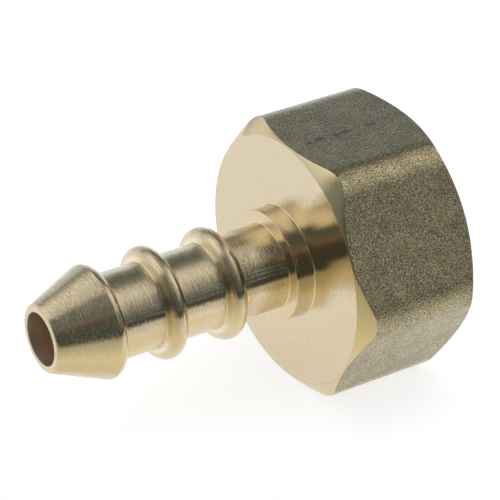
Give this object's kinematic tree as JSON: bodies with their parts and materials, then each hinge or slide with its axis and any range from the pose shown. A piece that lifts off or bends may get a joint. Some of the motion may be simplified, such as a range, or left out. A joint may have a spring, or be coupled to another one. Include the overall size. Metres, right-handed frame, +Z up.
{
  "type": "hose barb tail",
  "caption": "One-piece brass hose tail: a hexagon with a female pipe thread steps down through a collar to a beaded spigot with a conical nose, bored through.",
  "frame": {"origin": "on the axis, at the flat seat in the bottom of the thread socket", "axes": "+X along the axis out of the thread socket's mouth, the nose points to -X; +Z up, normal to a flat of the hexagon, with the opposite flat underneath"},
  "size_m": [0.0394, 0.0278, 0.025],
  "materials": {
    "brass": "turned bright on the spigot, end faces and chamfers; flats as forged and shot-blasted"
  },
  "bodies": {
    "root": {"hose_tail": "brass"}
  },
  "joints": []
}
